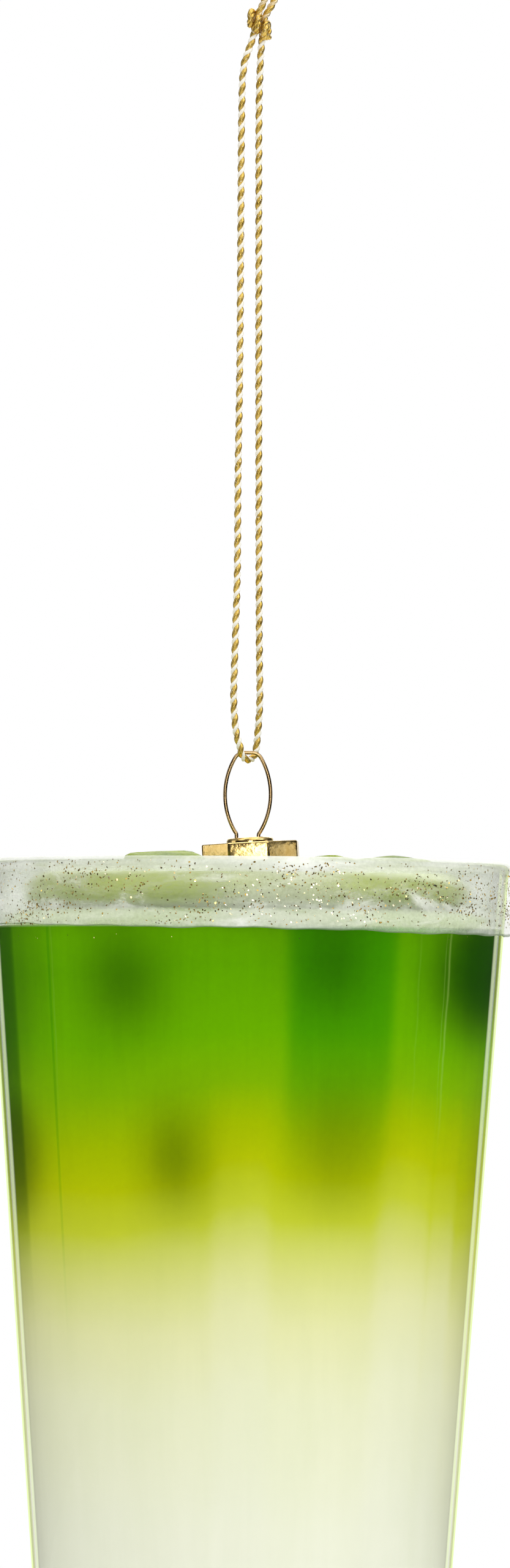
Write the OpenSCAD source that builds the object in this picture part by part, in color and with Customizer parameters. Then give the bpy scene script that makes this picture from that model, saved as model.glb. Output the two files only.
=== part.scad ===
/* [Tumbler] */
// Height of the glass tumbler from its foot to its lip
tumbler_h = 91.6; // [80:0.2:105]
// Outside diameter of the tumbler at its foot
foot_d = 46.8; // [42:0.2:52]
// Outside diameter of the tumbler at its lip
lip_d = 60.4; // [57:0.2:66]
// Thickness of the tumbler's wall
glass_wall = 1.4; // [1:0.1:1.8]
// Thickness of the tumbler's floor
glass_floor = 4; // [2.5:0.1:6]
// Radius of the rounded heel between wall and foot
heel_r = 2.6; // [1:0.1:4]
// Radius of the corner between the inside wall and the floor
inside_r = 3; // [1.5:0.1:4]

/* [Drink] */
// Depth of the drink's shoulder below the lip
drink_drop = 7.4; // [6:0.1:9]
// Wall of the painted inner vessel
drink_wall = 0.9; // [0.6:0.1:1.4]
// Air gap between the tumbler and the painted vessel
drink_gap = 0.1; // [0.05:0.01:0.3]
// Height of the pale foam shoulder that closes the vessel
foam_rise = 2.2; // [1.6:0.1:3]
// Diameter of the matcha layer on top
top_d = 48.8; // [46:0.2:51]
// Thickness of the matcha layer
top_t = 4.5; // [3.6:0.1:5.4]
// Radius of the matcha layer's rounded edge
top_r = 2; // [1:0.1:2.4]

/* [Ice] */
// Edge length of an ice cube
ice_s = 9; // [7:0.1:10]
// Width of the melted flats along an ice cube's edges
ice_melt = 1.2; // [0.6:0.1:2]

/* [Sugar rim] */
// Height of the sugar band on the outside
frost_h = 7.8; // [6:0.1:10]
// Thickness of the sugar around the lip
frost_t = 0.45; // [0.35:0.05:0.9]
// Thickness of the sugar on top of the lip
frost_top = 0.4; // [0.3:0.05:0.9]
// Depth of the sugar that laps over to the inside
frost_lap = 1.3; // [0.8:0.1:2.5]

/* [Neck and cap] */
// Outside diameter of the glass neck
neck_d = 10; // [9.4:0.1:11]
// Bore of the glass neck
neck_bore = 8; // [7:0.1:8.4]
// Height of the cap's skirt
skirt_h = 2.9; // [2.4:0.1:4]
// Number of flat sides round the skirt
cap_sides = 8; // [6:2:12]
// Thickness of the cap's sheet metal
cap_metal = 0.35; // [0.25:0.05:0.5]
// Height of the raised crown on the cap
crown_rise = 0.6; // [0.4:0.1:1.2]
// Diameter of the raised crown
crown_d = 5.4; // [5:0.1:6.4]
// Clearance between skirt and neck
cap_fit = 0.15; // [0.1:0.01:0.3]

/* [Hanger wire] */
// Diameter of the wire
wire_d = 0.45; // [0.4:0.05:0.6]
// Outside width of the wire eye
eye_w = 5.7; // [5.4:0.1:7]
// Outside height of the wire eye above the cap
eye_h = 10; // [8.5:0.1:13]
// Straight length at the top of the eye
eye_flat = 0.9; // [0.6:0.1:1.2]
// Distance between the two legs in the cap
leg_gap = 2.54; // [2.2:0.02:3]
// Length of the legs below the cap
leg_l = 10; // [7:0.2:13]
// Clearance of the wire in the cap's holes
wire_fit = 0.15; // [0.1:0.01:0.25]

/* [Cord] */
// Diameter of the twisted cord
cord_d = 0.85; // [0.7:0.05:1]
// Clearance between the cord's bight and the wire
bight_fit = 0.18; // [0.12:0.01:0.3]

/* [Hidden] */
$fn = 64;

// The cord's hanging point is the origin, and the wire eye hangs this far below it
cord_drop = 82;

// Clearance under the sugar, between the skirt and the drink, and around the legs
sugar_fit = 0.05;
skirt_lift = 0.25;
leg_fit = 0.2;
// Greatest rock of the wire in the cap
rock = 8;
// Radii of the sugar's edges
sugar_low_r = 0.4;
sugar_top_r = 1.1;
sugar_in_r = 0.6;
// Straight wire above the cap before its bend, and that bend's radius
leg_stub = 0.25;
leg_bend = 0.5;
// Straight wire below the cap before the legs flare
leg_straight = 1.2;
// How far the balls that join lengths of wire stand out
ball_proud = 0.01;
// Points along a quarter round
arc_n = 8;

// Heights above the foot
shoulder_z = tumbler_h - drink_drop;
top_base_z = shoulder_z + foam_rise;
top_z = top_base_z + top_t;
neck_z = top_z + skirt_h + skirt_lift - cap_metal;
skirt_top_z = neck_z + cap_metal;
cap_z = skirt_top_z + crown_rise;
eye_z = cap_z + eye_h - wire_d / 2;
// Height of the foot in the hanging frame
foot_z = -cord_drop - eye_z;

// The tumbler's cone
taper = (lip_d - foot_d) / 2 / tumbler_h;
lean = atan(taper);
function out_r(z) = foot_d / 2 + z * taper;
function in_r(z) = out_r(z) - glass_wall;
function vessel_r(z) = in_r(z) - drink_gap;

// Points of an arc about a centre, from one angle to another
function arc(c, r, from, to, n = arc_n) =
    [for (i = [0:n]) let(a = from + (to - from) * i / n) [c[0] + r * cos(a), c[1] + r * sin(a)]];
// Centre of a round between a floor at height z and the leaning wall that has radius wall_r at the foot
function corner(wall_r, z, r) = [wall_r + (z + r) * taper - r / cos(lean), z + r];

// Flat radius on the matcha layer
edge_r = min(top_r, top_t / 2 - 0.1);
flat_r = top_d / 2 - edge_r;

// Cap
skirt_in = neck_d / 2 + cap_fit;
cap_r = (skirt_in + cap_metal) / cos(180 / cap_sides);

// Wire eye: a four-centre oval with a straight top and two feet that bend into the legs
eye_half = (eye_w - wire_d) / 2;
top_half = eye_flat / 2;
bend_r = 0.56 * (eye_half - top_half);
foot_x = leg_gap / 2;
foot_rise = sqrt(pow(bend_r + leg_bend, 2) - pow(foot_x + leg_bend - top_half, 2));
foot_bend_z = cap_z + leg_stub;
low_bend_z = foot_bend_z + foot_rise;
high_bend_z = eye_z - bend_r;
mid_z = (low_bend_z + high_bend_z) / 2;
bend_half = (high_bend_z - low_bend_z) / 2;
span = eye_half - top_half;
side_r = (span * span + bend_half * bend_half - bend_r * bend_r) / (2 * (span - bend_r));
side_a = atan2(bend_half, side_r - span);
foot_a = atan2(foot_rise, foot_x + leg_bend - top_half);
leg_end_x = sqrt(pow(neck_bore / 2 - wire_d / 2 - leg_fit, 2) - pow(leg_l * sin(rock), 2));

// Ice cubes: angle round the neck, shift outwards, tilt about X, tilt about Y, turn, height over the drink
ICE = [
    [234, 0.4, 5, 6, 20, 2.5],
    [306, 0.2, -6, 4, 65, 2.1],
    [4, 2, 5, -7, 40, 2.1],
    [62, 0, 7, 4, 10, 1.7],
    [119, 0.2, -5, -5, 30, 2],
    [176, 0, 4, 6, 75, 1.5]
];
ice_ring_r = (cap_r + flat_r) / 2;
// Half the height of a tilted cube
function ice_half(ax, ay) = ice_s / 2 * (abs(sin(ay)) + abs(cos(ay) * sin(ax)) + abs(cos(ay) * cos(ax)));

// Route of the cord in the hanging frame: down on the left, under the wire, up on the right
left_run = [
    [0.1, -0.2, 1.2], [-0.4, -0.3, -0.4], [-1.1, -0.3, -2.8], [-1.3, -0.3, -8], [-1.3, -0.3, -24],
    [-1.3, -0.4, -38], [-1.4, -0.5, -50], [-1.4, -0.6, -61], [-1.6, -0.8, -70], [-1.7, -1, -76],
    [-1.4, -1.2, -79.6]
];
right_run = [
    [1.1, 1.2, -79.6], [1.3, 1, -76], [1.2, 0.8, -70], [1.1, 0.6, -61], [1, 0.5, -50],
    [0.9, 0.4, -38], [0.8, 0.3, -24], [0.7, 0.3, -8], [0.8, 0.3, -2.8], [0.9, 0.3, -0.4],
    [1.1, 0.2, 1.2]
];
// The bight: a round turn that passes under the wire from the front left to the back right
bight_half = [0.95, 1.25];
bight_deep = 1.5;
bight_low = -cord_drop - (wire_d + cord_d) / 2 - bight_fit;
bight = [for (a = [180:30:360])
    [bight_half[0] * cos(a), bight_half[1] * cos(a), bight_low + bight_deep * (1 + sin(a))]];
tail_1 = [
    [1.3, 0.3, 3], [1.8, 0.4, 4], [2.3, 0.4, 4.9], [2.8, 0.4, 6.3], [3.1, 0.4, 8.2], [3.2, 0.3, 10.4]
];
tail_2 = [
    [0.4, -0.3, 3], [0.8, -0.4, 4], [1.2, -0.5, 4.9], [1.6, -0.6, 6.5], [1.8, -0.8, 8.6], [1.7, -0.9, 11.2]
];
// The knot's middle, half height and the tilt and spacing of its two turns
knot_at = [0.75, 0, 1.9];
knot_half = 1.9;
knot_tilt = 32;
knot_turn = 0.55;

// Smooth run through points, with steps between each two
function spline(p, steps) = concat(
    [for (i = [0:len(p) - 2], s = [0:steps - 1])
        let(t = s / steps, a = p[max(i - 1, 0)], b = p[i], c = p[i + 1], d = p[min(i + 2, len(p) - 1)])
        0.5 * (2 * b + t * (c - a)
            + t * t * (2 * a - 5 * b + 4 * c - d)
            + t * t * t * (3 * b - a - 3 * c + d))],
    [p[len(p) - 1]]
);
function unit(v) = v / norm(v);
function along(p, i) = unit(p[min(i + 1, len(p) - 1)] - p[max(i - 1, 0)]);

// Round tube of eight sides along a run of points that never goes along X
module tube(p, d) {
    n = 8;
    last = len(p) - 1;
    rings = [for (i = [0:last])
        let(t = along(p, i), u = unit([1, 0, 0] - t[0] * t), v = cross(t, u))
        for (k = [0:n - 1]) p[i] + d / 2 * (cos(360 * k / n) * u + sin(360 * k / n) * v)];
    side = [for (i = [0:last - 1], k = [0:n - 1])
        let(a = i * n + k, b = i * n + (k + 1) % n)
        each [[a, a + n, b], [b, a + n, b + n]]];
    low = [for (k = [1:n - 2]) [0, k, k + 1]];
    high = [for (k = [1:n - 2]) [last * n, last * n + k + 1, last * n + k]];
    polyhedron(points = rings, faces = concat(side, low, high));
}

// Bent wire in the XZ plane, about a centre
module wire_arc(c, r, from, to) {
    translate([c[0], 0, c[1]])
        rotate([90, 0, 0])
            rotate([0, 0, from])
                rotate_extrude(angle = to - from)
                    translate([r, 0])
                        circle(d = wire_d);
}

// Straight wire in the XZ plane
module wire_rod(a, b) {
    run = b - a;
    translate([a[0], 0, a[1]])
        rotate([0, atan2(run[0], run[1]), 0])
            cylinder(d = wire_d, h = norm(run));
}

module turned(points) {
    translate([0, 0, foot_z])
        rotate_extrude()
            polygon(points);
}

// Clear outer glass with a thick floor and a rounded lip
module glass_tumbler() {
    lip_c = [out_r(tumbler_h - glass_wall / 2) - glass_wall / 2, tumbler_h - glass_wall / 2];
    color("honeydew", 0.35)
        turned(concat(
            [[0, 0]],
            arc(corner(foot_d / 2, 0, heel_r), heel_r, -90, -lean),
            arc(lip_c, glass_wall / 2, 0, 180),
            arc(corner(foot_d / 2 - glass_wall, glass_floor, inside_r), inside_r, -lean, -90),
            [[0, glass_floor]]
        ));
}

// Hollow painted vessel inside the tumbler, closed by a pale foam shoulder
module drink_vessel() {
    wall_r = foot_d / 2 - glass_wall - drink_gap;
    round_r = inside_r + 0.3;
    wall_top = vessel_r(shoulder_z);
    rise = foam_rise;
    outer = [for (i = [0:arc_n]) let(a = 90 * i / arc_n)
        [flat_r + (wall_top - flat_r) * cos(a), shoulder_z + rise * sin(a)]];
    inner = [for (i = [arc_n:-1:0]) let(a = 90 * i / arc_n)
        [flat_r + (wall_top - drink_wall - flat_r) * cos(a), shoulder_z - drink_wall + rise * sin(a)]];
    color("yellowgreen")
        turned(concat(
            [[0, glass_floor]],
            arc(corner(wall_r, glass_floor, round_r), round_r, -90, -lean),
            outer,
            [[neck_bore / 2, top_base_z], [neck_bore / 2, top_base_z - drink_wall]],
            inner,
            arc(corner(wall_r - drink_wall, glass_floor + drink_wall, round_r), round_r, -lean, -90),
            [[0, glass_floor + drink_wall]]
        ));
}

// Round-edged matcha layer with the glass neck that carries the cap
module matcha_top() {
    c = flat_r;
    color("darkolivegreen")
        turned(concat(
            [[neck_bore / 2, top_base_z]],
            arc([c, top_base_z + edge_r], edge_r, -90, 0),
            arc([c, top_z - edge_r], edge_r, 0, 90),
            [[neck_d / 2, top_z], [neck_d / 2, neck_z], [neck_bore / 2, neck_z]]
        ));
}

// Sugar crust over the lip
module rim_sugar() {
    o = lip_d / 2 + frost_t;
    i = lip_d / 2 - glass_wall - frost_t;
    high = tumbler_h + frost_top;
    low = high - frost_h;
    lap = tumbler_h - frost_lap;
    lip_r = glass_wall / 2;
    lip_c = [out_r(tumbler_h - lip_r) - lip_r, tumbler_h - lip_r];
    color("ivory", 0.7)
        turned(concat(
            [[out_r(low) + sugar_fit, low]],
            arc([o - sugar_low_r, low + sugar_low_r], sugar_low_r, -90, 0, 4),
            arc([o - sugar_top_r, high - sugar_top_r], sugar_top_r, 0, 90),
            arc([i + sugar_in_r, high - sugar_in_r], sugar_in_r, 90, 180, 4),
            [[i, lap], [in_r(lap) - sugar_fit, lap]],
            arc(lip_c, lip_r + sugar_fit, 180, 0)
        ));
}

// Melted ice cube that floats in the matcha layer
module ice_cube(k) {
    c = ICE[k];
    r = ice_ring_r + c[1];
    cut = ice_s * sqrt(2) - ice_melt;
    color("palegreen")
        translate([r * cos(c[0]), r * sin(c[0]), foot_z + top_z])
            intersection() {
                translate([0, 0, ice_s])
                    cube(2 * ice_s, center = true);
                translate([0, 0, c[5] - ice_half(c[2], c[3])])
                    rotate([c[2], c[3], c[4]])
                        intersection() {
                            cube(ice_s, center = true);
                            rotate([45, 0, 0])
                                cube([2 * ice_s, cut, cut], center = true);
                            rotate([0, 45, 0])
                                cube([cut, 2 * ice_s, cut], center = true);
                            rotate([0, 0, 45])
                                cube([cut, cut, 2 * ice_s], center = true);
                        }
            }
}

// Flat-sided prism with one side to the front, sized to its flats
module side_prism(flat, h) {
    rotate([0, 0, 180 / cap_sides - 90])
        cylinder(r = flat / cos(180 / cap_sides), h = h, $fn = cap_sides);
}

// Flat-sided sheet-metal cap with a raised crown and two holes for the wire
module crown_cap() {
    color("gold")
        translate([0, 0, foot_z + skirt_top_z])
            difference() {
                union() {
                    translate([0, 0, -skirt_h])
                        side_prism(skirt_in + cap_metal, skirt_h);
                    cylinder(d1 = crown_d, d2 = crown_d - crown_rise, h = crown_rise);
                }
                translate([0, 0, -skirt_h - 1])
                    side_prism(skirt_in, skirt_h + 1 - cap_metal);
                translate([0, 0, -cap_metal - 0.01])
                    cylinder(
                        d1 = crown_d - 2 * cap_metal,
                        d2 = crown_d - crown_rise - 2 * cap_metal,
                        h = crown_rise + 0.01
                    );
                for (x = [-foot_x, foot_x])
                    translate([x, 0, -cap_metal])
                        cylinder(d = wire_d + 2 * wire_fit, h = crown_rise + 2 * cap_metal);
            }
}

// Spring wire: an oval eye above the cap and two legs that flare in the neck
module hanger_wire() {
    flare_z = cap_z - cap_metal - leg_straight;
    end_z = cap_z - leg_l;
    // Where one length of wire runs into the next
    joins = [
        [top_half, eye_z],
        [top_half, high_bend_z] + bend_r * [cos(side_a), sin(side_a)],
        [top_half, low_bend_z] + bend_r * [cos(side_a), -sin(side_a)],
        [top_half, low_bend_z] + bend_r * [cos(foot_a), -sin(foot_a)],
        [foot_x, foot_bend_z],
        [foot_x, flare_z]
    ];
    color("goldenrod")
        translate([0, 0, foot_z]) {
            wire_rod([-top_half, eye_z], [top_half, eye_z]);
            for (m = [0, 1])
                mirror([m, 0, 0]) {
                    wire_arc([top_half, high_bend_z], bend_r, side_a, 90);
                    wire_arc([eye_half - side_r, mid_z], side_r, -side_a, side_a);
                    wire_arc([top_half, low_bend_z], bend_r, -foot_a, -side_a);
                    wire_arc([foot_x + leg_bend, foot_bend_z], leg_bend, 180 - foot_a, 180);
                    wire_rod([foot_x, foot_bend_z], [foot_x, flare_z]);
                    wire_rod([foot_x, flare_z], [leg_end_x, end_z]);
                    for (p = joins)
                        translate([p[0], 0, p[1]])
                            sphere(d = wire_d + 2 * ball_proud);
                }
        }
}

// Cord from the knot down to the wire eye and back
module cord_loop() {
    color("darkkhaki")
        tube(concat(spline(left_run, 3), bight, spline(right_run, 3)), cord_d);
}

// Overhand knot that closes the cord's loop: a core and two tilted turns
module cord_knot() {
    core = 1.1 * cord_d;
    turn_r = 1.4 * cord_d;
    color("darkkhaki")
        translate(knot_at) {
            rotate_extrude()
                polygon([for (a = [-90:10:90]) [core * cos(a), knot_half * sin(a)]]);
            for (s = [-1, 1])
                translate([0, 0, knot_turn * s])
                    rotate([0, knot_tilt, 0])
                        rotate_extrude()
                            translate([turn_r, 0])
                                circle(d = cord_d);
        }
}

module cord_tail(run) {
    color("darkkhaki")
        tube(spline(run, 2), cord_d);
}

glass_tumbler();
drink_vessel();
matcha_top();
rim_sugar();
ice_cube(0);  // ice_cube_1
ice_cube(1);  // ice_cube_2
ice_cube(2);  // ice_cube_3
ice_cube(3);  // ice_cube_4
ice_cube(4);  // ice_cube_5
ice_cube(5);  // ice_cube_6
crown_cap();
hanger_wire();
cord_loop();
cord_knot();
cord_tail(tail_1);  // cord_tail_1
cord_tail(tail_2);  // cord_tail_2
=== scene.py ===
import math
import random

import bpy
from mathutils import Matrix, Vector


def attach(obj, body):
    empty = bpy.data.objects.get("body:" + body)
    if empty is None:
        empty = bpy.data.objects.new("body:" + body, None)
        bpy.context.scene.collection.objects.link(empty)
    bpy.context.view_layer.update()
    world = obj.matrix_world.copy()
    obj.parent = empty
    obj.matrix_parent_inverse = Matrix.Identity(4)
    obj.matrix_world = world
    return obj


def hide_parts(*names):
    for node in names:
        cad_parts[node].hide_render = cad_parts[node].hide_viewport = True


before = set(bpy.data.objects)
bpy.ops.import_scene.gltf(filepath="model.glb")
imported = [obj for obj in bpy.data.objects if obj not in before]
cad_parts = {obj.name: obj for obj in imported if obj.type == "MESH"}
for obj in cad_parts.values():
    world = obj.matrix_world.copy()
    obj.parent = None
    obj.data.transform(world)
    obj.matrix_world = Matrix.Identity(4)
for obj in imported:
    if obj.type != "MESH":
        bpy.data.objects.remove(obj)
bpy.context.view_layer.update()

# Sizes in millimetres, heights above the foot unless they say otherwise
MM = 0.001
FOOT_Z = -186.425
TUMBLER_H = 91.6
FOOT_R = 23.4
LIP_R = 30.2
GLASS_WALL = 1.4
GLASS_FLOOR = 4.0
HEEL_R = 2.6
INSIDE_R = 3.0
SHOULDER_Z = 84.2
FOAM_RISE = 2.2
PAINT_SINK = 0.03
DRINK_WALL = 0.9
TOP_BASE_Z = SHOULDER_Z + FOAM_RISE
TOP_Z = 90.9
TOP_R = 24.4
TOP_EDGE = 2.0
NECK_R = 5.0
NECK_BORE_R = 4.0
NECK_Z = 93.7
SKIRT_TOP_Z = 94.05
SKIRT_H = 2.9
SKIRT_FLAT = 5.5
CAP_METAL = 0.35
CROWN_R = 2.7
CAP_Z = 94.65
WIRE_R = 0.225
CORD_R = 0.425
TAPER = (LIP_R - FOOT_R) / TUMBLER_H
LEAN = math.degrees(math.atan(TAPER))
SPIN_STEPS = 144

# Wire eye and its two legs, in millimetres
EYE_TALL = 10.0
EYE_WIDE = 5.7
EYE_FLAT = 0.45
EYE_LIFT = 0.25
LEG_X = 1.27
LEG_BEND = 0.5
LEG_KNEE = 1.55
LEG_LONG = 10.0
LEG_END_X = 3.28


# Camera: a little under the rim, looking slightly up, rolled as the ornament hangs
CAMERA_AIM = (0.82, 0, -85.6)
CAMERA_SPOT = (0.82, -1000, -112)
CAMERA_ROLL = 0.43
CAMERA_LENS = 199.2


def make_camera():
    aim = Vector(CAMERA_AIM) * MM
    spot = Vector(CAMERA_SPOT) * MM
    bpy.ops.object.camera_add(location=spot)
    camera = bpy.context.object
    camera.name = "camera"
    turn = (aim - spot).to_track_quat("-Z", "Y").to_matrix().to_4x4()
    roll = Matrix.Rotation(math.radians(CAMERA_ROLL), 4, "Z")
    camera.matrix_world = Matrix.Translation(spot) @ turn @ roll
    camera.data.lens = CAMERA_LENS
    camera.data.sensor_width = 36
    camera.data.clip_start = 0.01
    camera.data.clip_end = 50
    bpy.context.scene.camera = camera


make_camera()


# Node helpers
def add_node(tree, kind, inputs=None, **settings):
    made = tree.nodes.new(kind)
    for key, value in settings.items():
        setattr(made, key, value)
    for key, value in (inputs or {}).items():
        if isinstance(value, bpy.types.NodeSocket):
            tree.links.new(value, made.inputs[key])
        else:
            made.inputs[key].default_value = value
    return made


def math_node(tree, operation, *values):
    return add_node(tree, "ShaderNodeMath", dict(enumerate(values)), operation=operation).outputs[0]


def strongest(tree, masks):
    """The highest of several masks at each place."""
    top = masks[0]
    for mask in masks[1:]:
        top = math_node(tree, "MAXIMUM", top, mask)
    return top


def place_parts(tree, place):
    """The X, Y and Z of a place."""
    return add_node(tree, "ShaderNodeSeparateXYZ", {0: place}).outputs


def turn_round(tree, parts):
    """Turn about the upright axis, in radians from the front."""
    return math_node(tree, "ARCTAN2", parts["X"], math_node(tree, "MULTIPLY", parts["Y"], -1.0))


def ramp(tree, value, stops):
    made = add_node(tree, "ShaderNodeValToRGB", {"Fac": value})
    marks = made.color_ramp.elements
    while len(marks) < len(stops):
        marks.new(0.5)
    for mark, (place, _) in zip(marks, stops):
        mark.position = place
    for mark, (_, colour) in zip(marks, stops):
        mark.color = (*colour, 1)
    return made.outputs["Color"]


def spread(tree, value, low, high, new_low, new_high):
    return add_node(
        tree, "ShaderNodeMapRange",
        {"Value": value, "From Min": low, "From Max": high, "To Min": new_low, "To Max": new_high},
    ).outputs["Result"]


def noise(tree, vector, scale, detail=3.0, rough=0.55, distortion=0.0):
    return add_node(
        tree, "ShaderNodeTexNoise",
        {"Vector": vector, "Scale": scale, "Detail": detail, "Roughness": rough, "Distortion": distortion},
    ).outputs["Fac"]


def mix_colour(tree, share, a, b, blend="MIX"):
    made = add_node(tree, "ShaderNodeMix", data_type="RGBA", blend_type=blend)
    for key, value in ((0, share), (6, a), (7, b)):
        if isinstance(value, bpy.types.NodeSocket):
            tree.links.new(value, made.inputs[key])
        elif key == 0:
            made.inputs[key].default_value = value
        else:
            made.inputs[key].default_value = (*value, 1)
    return made.outputs[2]


def new_material(name, **sockets):
    made = bpy.data.materials.new(name)
    made.use_nodes = True
    tree = made.node_tree
    shader = tree.nodes["Principled BSDF"]
    for key, value in sockets.items():
        shader.inputs[key.replace("_", " ")].default_value = value
    return made, tree, shader


def object_place(tree):
    return add_node(tree, "ShaderNodeTexCoord").outputs["Object"]


def stretched(tree, vector, scale):
    return add_node(tree, "ShaderNodeMapping", {"Vector": vector, "Scale": scale}).outputs["Vector"]


def bump(tree, height, strength, distance):
    inputs = {"Height": height, "Strength": strength, "Distance": distance}
    return add_node(tree, "ShaderNodeBump", inputs).outputs["Normal"]


def new_group(name, inputs, outputs):
    group = bpy.data.node_groups.new(name, "ShaderNodeTree")
    for key, kind, value in inputs:
        socket = group.interface.new_socket(key, in_out="INPUT", socket_type=kind)
        if value is not None:
            socket.default_value = value
    for key, kind in outputs:
        group.interface.new_socket(key, in_out="OUTPUT", socket_type=kind)
    return group, group.nodes.new("NodeGroupInput").outputs, group.nodes.new("NodeGroupOutput").inputs


def place_group(tree, group, inputs):
    made = tree.nodes.new("ShaderNodeGroup")
    made.node_tree = group
    for key, value in inputs.items():
        if isinstance(value, bpy.types.NodeSocket):
            tree.links.new(value, made.inputs[key])
        else:
            made.inputs[key].default_value = value
    return made.outputs


# Group: fine unevenness of bright plated metal
def make_plating_group():
    group, given, out = new_group(
        "plating",
        [
            ("Place", "NodeSocketVector", None),
            ("Grain", "NodeSocketFloat", 900.0),
            ("Smooth", "NodeSocketFloat", 0.15),
            ("Dull", "NodeSocketFloat", 0.4),
            ("Bright", "NodeSocketColor", (0.9, 0.66, 0.26, 1)),
            ("Deep", "NodeSocketColor", (0.5, 0.32, 0.08, 1)),
        ],
        [("Colour", "NodeSocketColor"), ("Roughness", "NodeSocketFloat"), ("Height", "NodeSocketFloat")],
    )
    fine = noise(group, given["Place"], given["Grain"], 2.0)
    wide = noise(group, given["Place"], math_node(group, "MULTIPLY", given["Grain"], 0.22), 3.0)
    half_fine, half_wide = math_node(group, "MULTIPLY", fine, 0.5), math_node(group, "MULTIPLY", wide, 0.5)
    both = math_node(group, "ADD", half_fine, half_wide)
    tone = spread(group, both, 0.35, 0.65, 0.0, 1.0)
    group.links.new(mix_colour(group, tone, given["Deep"], given["Bright"]), out["Colour"])
    group.links.new(spread(group, wide, 0.3, 0.7, given["Smooth"], given["Dull"]), out["Roughness"])
    group.links.new(both, out["Height"])
    return group


# Group: soft airbrushed spot on the wall of a turned piece
def make_spot_group():
    group, given, out = new_group(
        "airbrushed_spot",
        [
            ("Turn", "NodeSocketFloat", 0.0),
            ("Height", "NodeSocketFloat", 0.0),
            ("Spot Turn", "NodeSocketFloat", 0.0),
            ("Spot Height", "NodeSocketFloat", 0.0),
            ("Half Turn", "NodeSocketFloat", 0.1),
            ("Half Height", "NodeSocketFloat", 0.003),
            ("Strength", "NodeSocketFloat", 1.0),
            ("Edge", "NodeSocketFloat", 1.0),
        ],
        [("Mask", "NodeSocketFloat")],
    )
    round_off = math_node(group, "SUBTRACT", given["Turn"], given["Spot Turn"])
    round_off = math_node(group, "WRAP", round_off, math.pi, -math.pi)
    across = math_node(group, "DIVIDE", round_off, given["Half Turn"])
    along = math_node(group, "SUBTRACT", given["Height"], given["Spot Height"])
    along = math_node(group, "DIVIDE", along, given["Half Height"])
    across = math_node(group, "MULTIPLY", across, across)
    along = math_node(group, "MULTIPLY", along, along)
    far = math_node(group, "POWER", math_node(group, "ADD", across, along), given["Edge"])
    fade = math_node(group, "EXPONENT", math_node(group, "MULTIPLY", far, -1.0))
    group.links.new(math_node(group, "MULTIPLY", fade, given["Strength"]), out["Mask"])
    return group


# Group: cloudy streaks brushed round a turned piece
def make_streak_group():
    group, given, out = new_group(
        "brushed_streaks",
        [("Place", "NodeSocketVector", None), ("Scale", "NodeSocketFloat", 120.0), ("Flat", "NodeSocketFloat", 4.0)],
        [("Streaks", "NodeSocketFloat"), ("Grain", "NodeSocketFloat")],
    )
    flat = add_node(group, "ShaderNodeCombineXYZ", {"X": 1.0, "Y": 1.0, "Z": given["Flat"]}).outputs[0]
    drawn = add_node(group, "ShaderNodeVectorMath", {0: given["Place"], 1: flat}, operation="MULTIPLY").outputs[0]
    group.links.new(noise(group, drawn, given["Scale"], 5.0, 0.6, 0.6), out["Streaks"])
    grain = noise(group, given["Place"], math_node(group, "MULTIPLY", given["Scale"], 20.0), 2.0, 0.6)
    group.links.new(grain, out["Grain"])
    return group


PLATING = make_plating_group()
SPOT = make_spot_group()
STREAKS = make_streak_group()


def wall_spot(tree, turn, height, degrees, z, half, tall, strength, edge):
    """Mask of a spot on a turned wall: where round it and how high, half its width and height, strength, sharpness."""
    return place_group(tree, SPOT, {
        "Turn": turn, "Height": height, "Spot Turn": math.radians(degrees), "Spot Height": z * MM,
        "Half Turn": math.radians(half), "Half Height": tall * MM, "Strength": strength, "Edge": edge,
    })["Mask"]


def wall_stripe(tree, turn, degrees, half, strength, edge):
    """Mask of an upright stripe on a turned wall."""
    return wall_spot(tree, turn, 0.0, degrees, 0, half, 1000, strength, edge)


def wall_ring(tree, height, z, tall, strength, edge):
    """Mask of a level ring on a turned wall."""
    return wall_spot(tree, 0.0, height, 0, z, 90, tall, strength, edge)


# Shape helpers
def above_foot(r, z):
    return Vector((r, 0, FOOT_Z + z)) * MM


def level(z):
    """Height in the shared frame, in metres, of a height above the foot."""
    return (FOOT_Z + z) * MM


def arc(centre, r, start, end, n=10):
    steps = [math.radians(start + (end - start) * i / n) for i in range(n + 1)]
    return [(centre[0] + r * math.cos(a), centre[1] + r * math.sin(a)) for a in steps]


def wall_r(z):
    return FOOT_R + z * TAPER


def corner(base_r, z, r):
    return (base_r + (z + r) * TAPER - r / math.cos(math.radians(LEAN)), z + r)


def take_only(piece):
    bpy.ops.object.select_all(action="DESELECT")
    piece.select_set(True)
    bpy.context.view_layer.objects.active = piece


def smooth(piece, angle=40):
    take_only(piece)
    bpy.ops.object.shade_smooth_by_angle(angle=math.radians(angle))


def settle(piece):
    take_only(piece)
    bpy.ops.object.transform_apply(location=True, rotation=True, scale=True)


def apply_all(piece):
    bpy.context.view_layer.objects.active = piece
    for modifier in list(piece.modifiers):
        bpy.ops.object.modifier_apply(modifier=modifier.name)


def pick(piece, mode, test):
    """Select only the faces or edges of a piece that pass a test, and go to edit mode."""
    mesh = piece.data
    for part in (mesh.vertices, mesh.edges, mesh.polygons):
        part.foreach_set("select", [False] * len(part))
    for item in mesh.polygons if mode == "FACE" else mesh.edges:
        item.select = test(item)
    bpy.context.view_layer.objects.active = piece
    bpy.context.tool_settings.mesh_select_mode = (False, mode == "EDGE", mode == "FACE")
    bpy.ops.object.mode_set(mode="EDIT")


def join(pieces, name):
    bpy.ops.object.select_all(action="DESELECT")
    for piece in pieces:
        piece.select_set(True)
    bpy.context.view_layer.objects.active = pieces[0]
    bpy.ops.object.join()
    pieces[0].name = name
    return pieces[0]


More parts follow.
